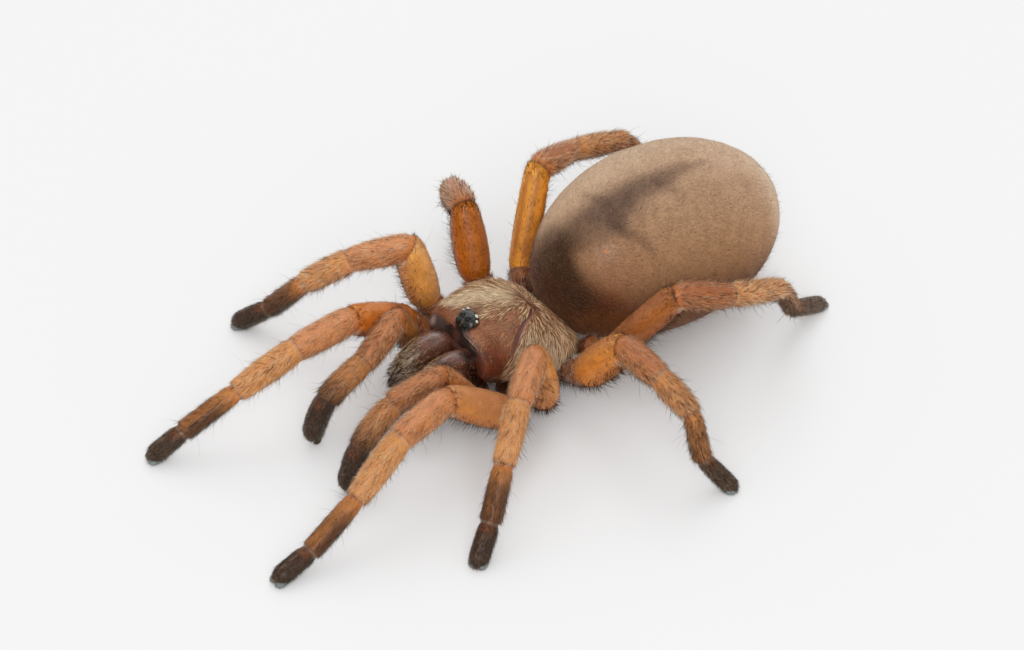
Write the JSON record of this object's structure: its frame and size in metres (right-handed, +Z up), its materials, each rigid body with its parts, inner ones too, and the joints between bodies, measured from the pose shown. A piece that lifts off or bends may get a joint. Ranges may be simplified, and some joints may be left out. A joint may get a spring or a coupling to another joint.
{
  "type": "trapdoor spider",
  "caption": "Life-size still model of a female brush-footed trapdoor spider standing on its feet, with egg-shaped velvety abdomen, domed carapace and stout brushed legs.",
  "frame": {"origin": "middle of the footprint, on the ground under the spider", "axes": "+Y from head to abdomen, +X to the spider's left, +Z up"},
  "size_m": [0.0348, 0.0478, 0.0126],
  "materials": {
    "shield": "golden-beige hair over red-brown shell",
    "plate": "satin brown shell",
    "abdomen": "short velvet pile, tan with a dark heart stripe",
    "jaw": "polished dark brown with rows of hair",
    "fang": "polished black",
    "eye": "polished black glass-like lens",
    "hip": "red-brown shell with hair",
    "limb": "satin orange-tan shell with short hair",
    "foot": "dense dark brush of hair",
    "spinneret": "soft tan hair"
  },
  "bodies": {
    "root": {"abdomen": "abdomen", "carapace": "shield", "chelicera_left": "jaw", "chelicera_right": "jaw", "eye_front_middle_left": "eye", "eye_front_middle_right": "eye", "eye_front_side_left": "eye", "eye_front_side_right": "eye", "eye_rear_middle_left": "eye", "eye_rear_middle_right": "eye", "eye_rear_side_left": "eye", "eye_rear_side_right": "eye", "fang_left": "fang", "fang_right": "fang", "leg_1_left_coxa": "hip", "leg_1_left_femur": "limb", "leg_1_left_foot": "foot", "leg_1_left_patella_tibia": "limb", "leg_1_right_coxa": "hip", "leg_1_right_femur": "limb", "leg_1_right_foot": "foot", "leg_1_right_patella_tibia": "limb", "leg_2_left_coxa": "hip", "leg_2_left_femur": "limb", "leg_2_left_foot": "foot", "leg_2_left_patella_tibia": "limb", "leg_2_right_coxa": "hip", "leg_2_right_femur": "limb", "leg_2_right_foot": "foot", "leg_2_right_patella_tibia": "limb", "leg_3_left_coxa": "hip", "leg_3_left_femur": "limb", "leg_3_left_foot": "foot", "leg_3_left_patella_tibia": "limb", "leg_3_right_coxa": "hip", "leg_3_right_femur": "limb", "leg_3_right_foot": "foot", "leg_3_right_patella_tibia": "limb", "leg_4_left_coxa": "hip", "leg_4_left_femur": "limb", "leg_4_left_foot": "foot", "leg_4_left_patella_tibia": "limb", "leg_4_right_coxa": "hip", "leg_4_right_femur": "limb", "leg_4_right_foot": "foot", "leg_4_right_patella_tibia": "limb", "palp_left_coxa": "hip", "palp_left_femur": "limb", "palp_left_foot": "foot", "palp_left_patella_tibia": "limb", "palp_right_coxa": "hip", "palp_right_femur": "limb", "palp_right_foot": "foot", "palp_right_patella_tibia": "limb", "pedicel": "plate", "spinneret_middle_left": "spinneret", "spinneret_middle_right": "spinneret", "spinneret_side_left": "spinneret", "spinneret_side_right": "spinneret", "sternum": "plate"}
  },
  "joints": []
}
